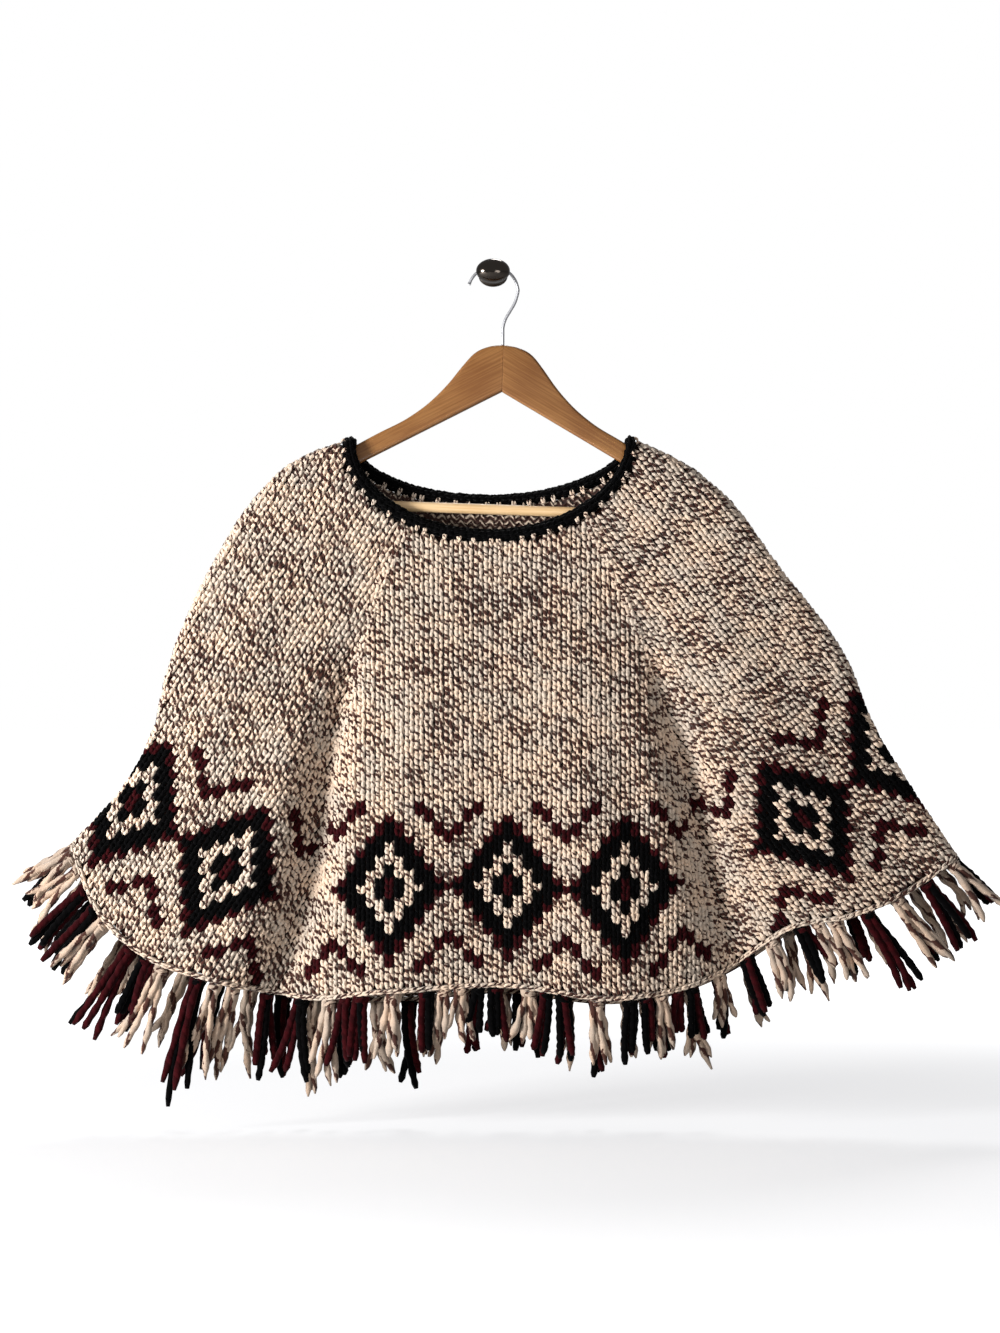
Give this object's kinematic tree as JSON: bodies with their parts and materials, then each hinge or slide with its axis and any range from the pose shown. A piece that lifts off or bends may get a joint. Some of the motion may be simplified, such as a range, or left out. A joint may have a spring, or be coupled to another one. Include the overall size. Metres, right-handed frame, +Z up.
{
  "type": "knitted poncho on a wooden clothes hanger and wall knob",
  "caption": "Hand-knitted poncho with diamond borders, a crocheted neck edge and a tasselled hem, hung on a wooden hanger from a wall knob.",
  "frame": {"origin": "the middle of the knob's flat base, on the wall", "axes": "+X along the wall to the right as seen from the front, +Y into the wall, +Z up; the poncho's front faces -Y"},
  "size_m": [0.9903, 0.0859, 0.83],
  "materials": {
    "marl_knit": "chunky two-ply marl yarn in stockinette",
    "black_crochet": "black yarn, crocheted",
    "fringe_yarn": "plied yarn, marl and dark in turn",
    "oak": "satin varnish",
    "beech": "plain",
    "steel_wire": "polished steel wire",
    "dark_nickel": "polished dark nickel"
  },
  "bodies": {
    "root": {"front_panel": "marl_knit", "back_panel": "marl_knit", "left_panel": "marl_knit", "right_panel": "marl_knit", "neck_edge": "black_crochet", "fringe_front": "fringe_yarn", "fringe_back": "fringe_yarn", "fringe_left": "fringe_yarn", "fringe_right": "fringe_yarn", "hanger_left": "oak", "hanger_right": "oak", "trouser_bar": "beech", "hook": "steel_wire", "wall_knob": "dark_nickel"}
  },
  "joints": []
}
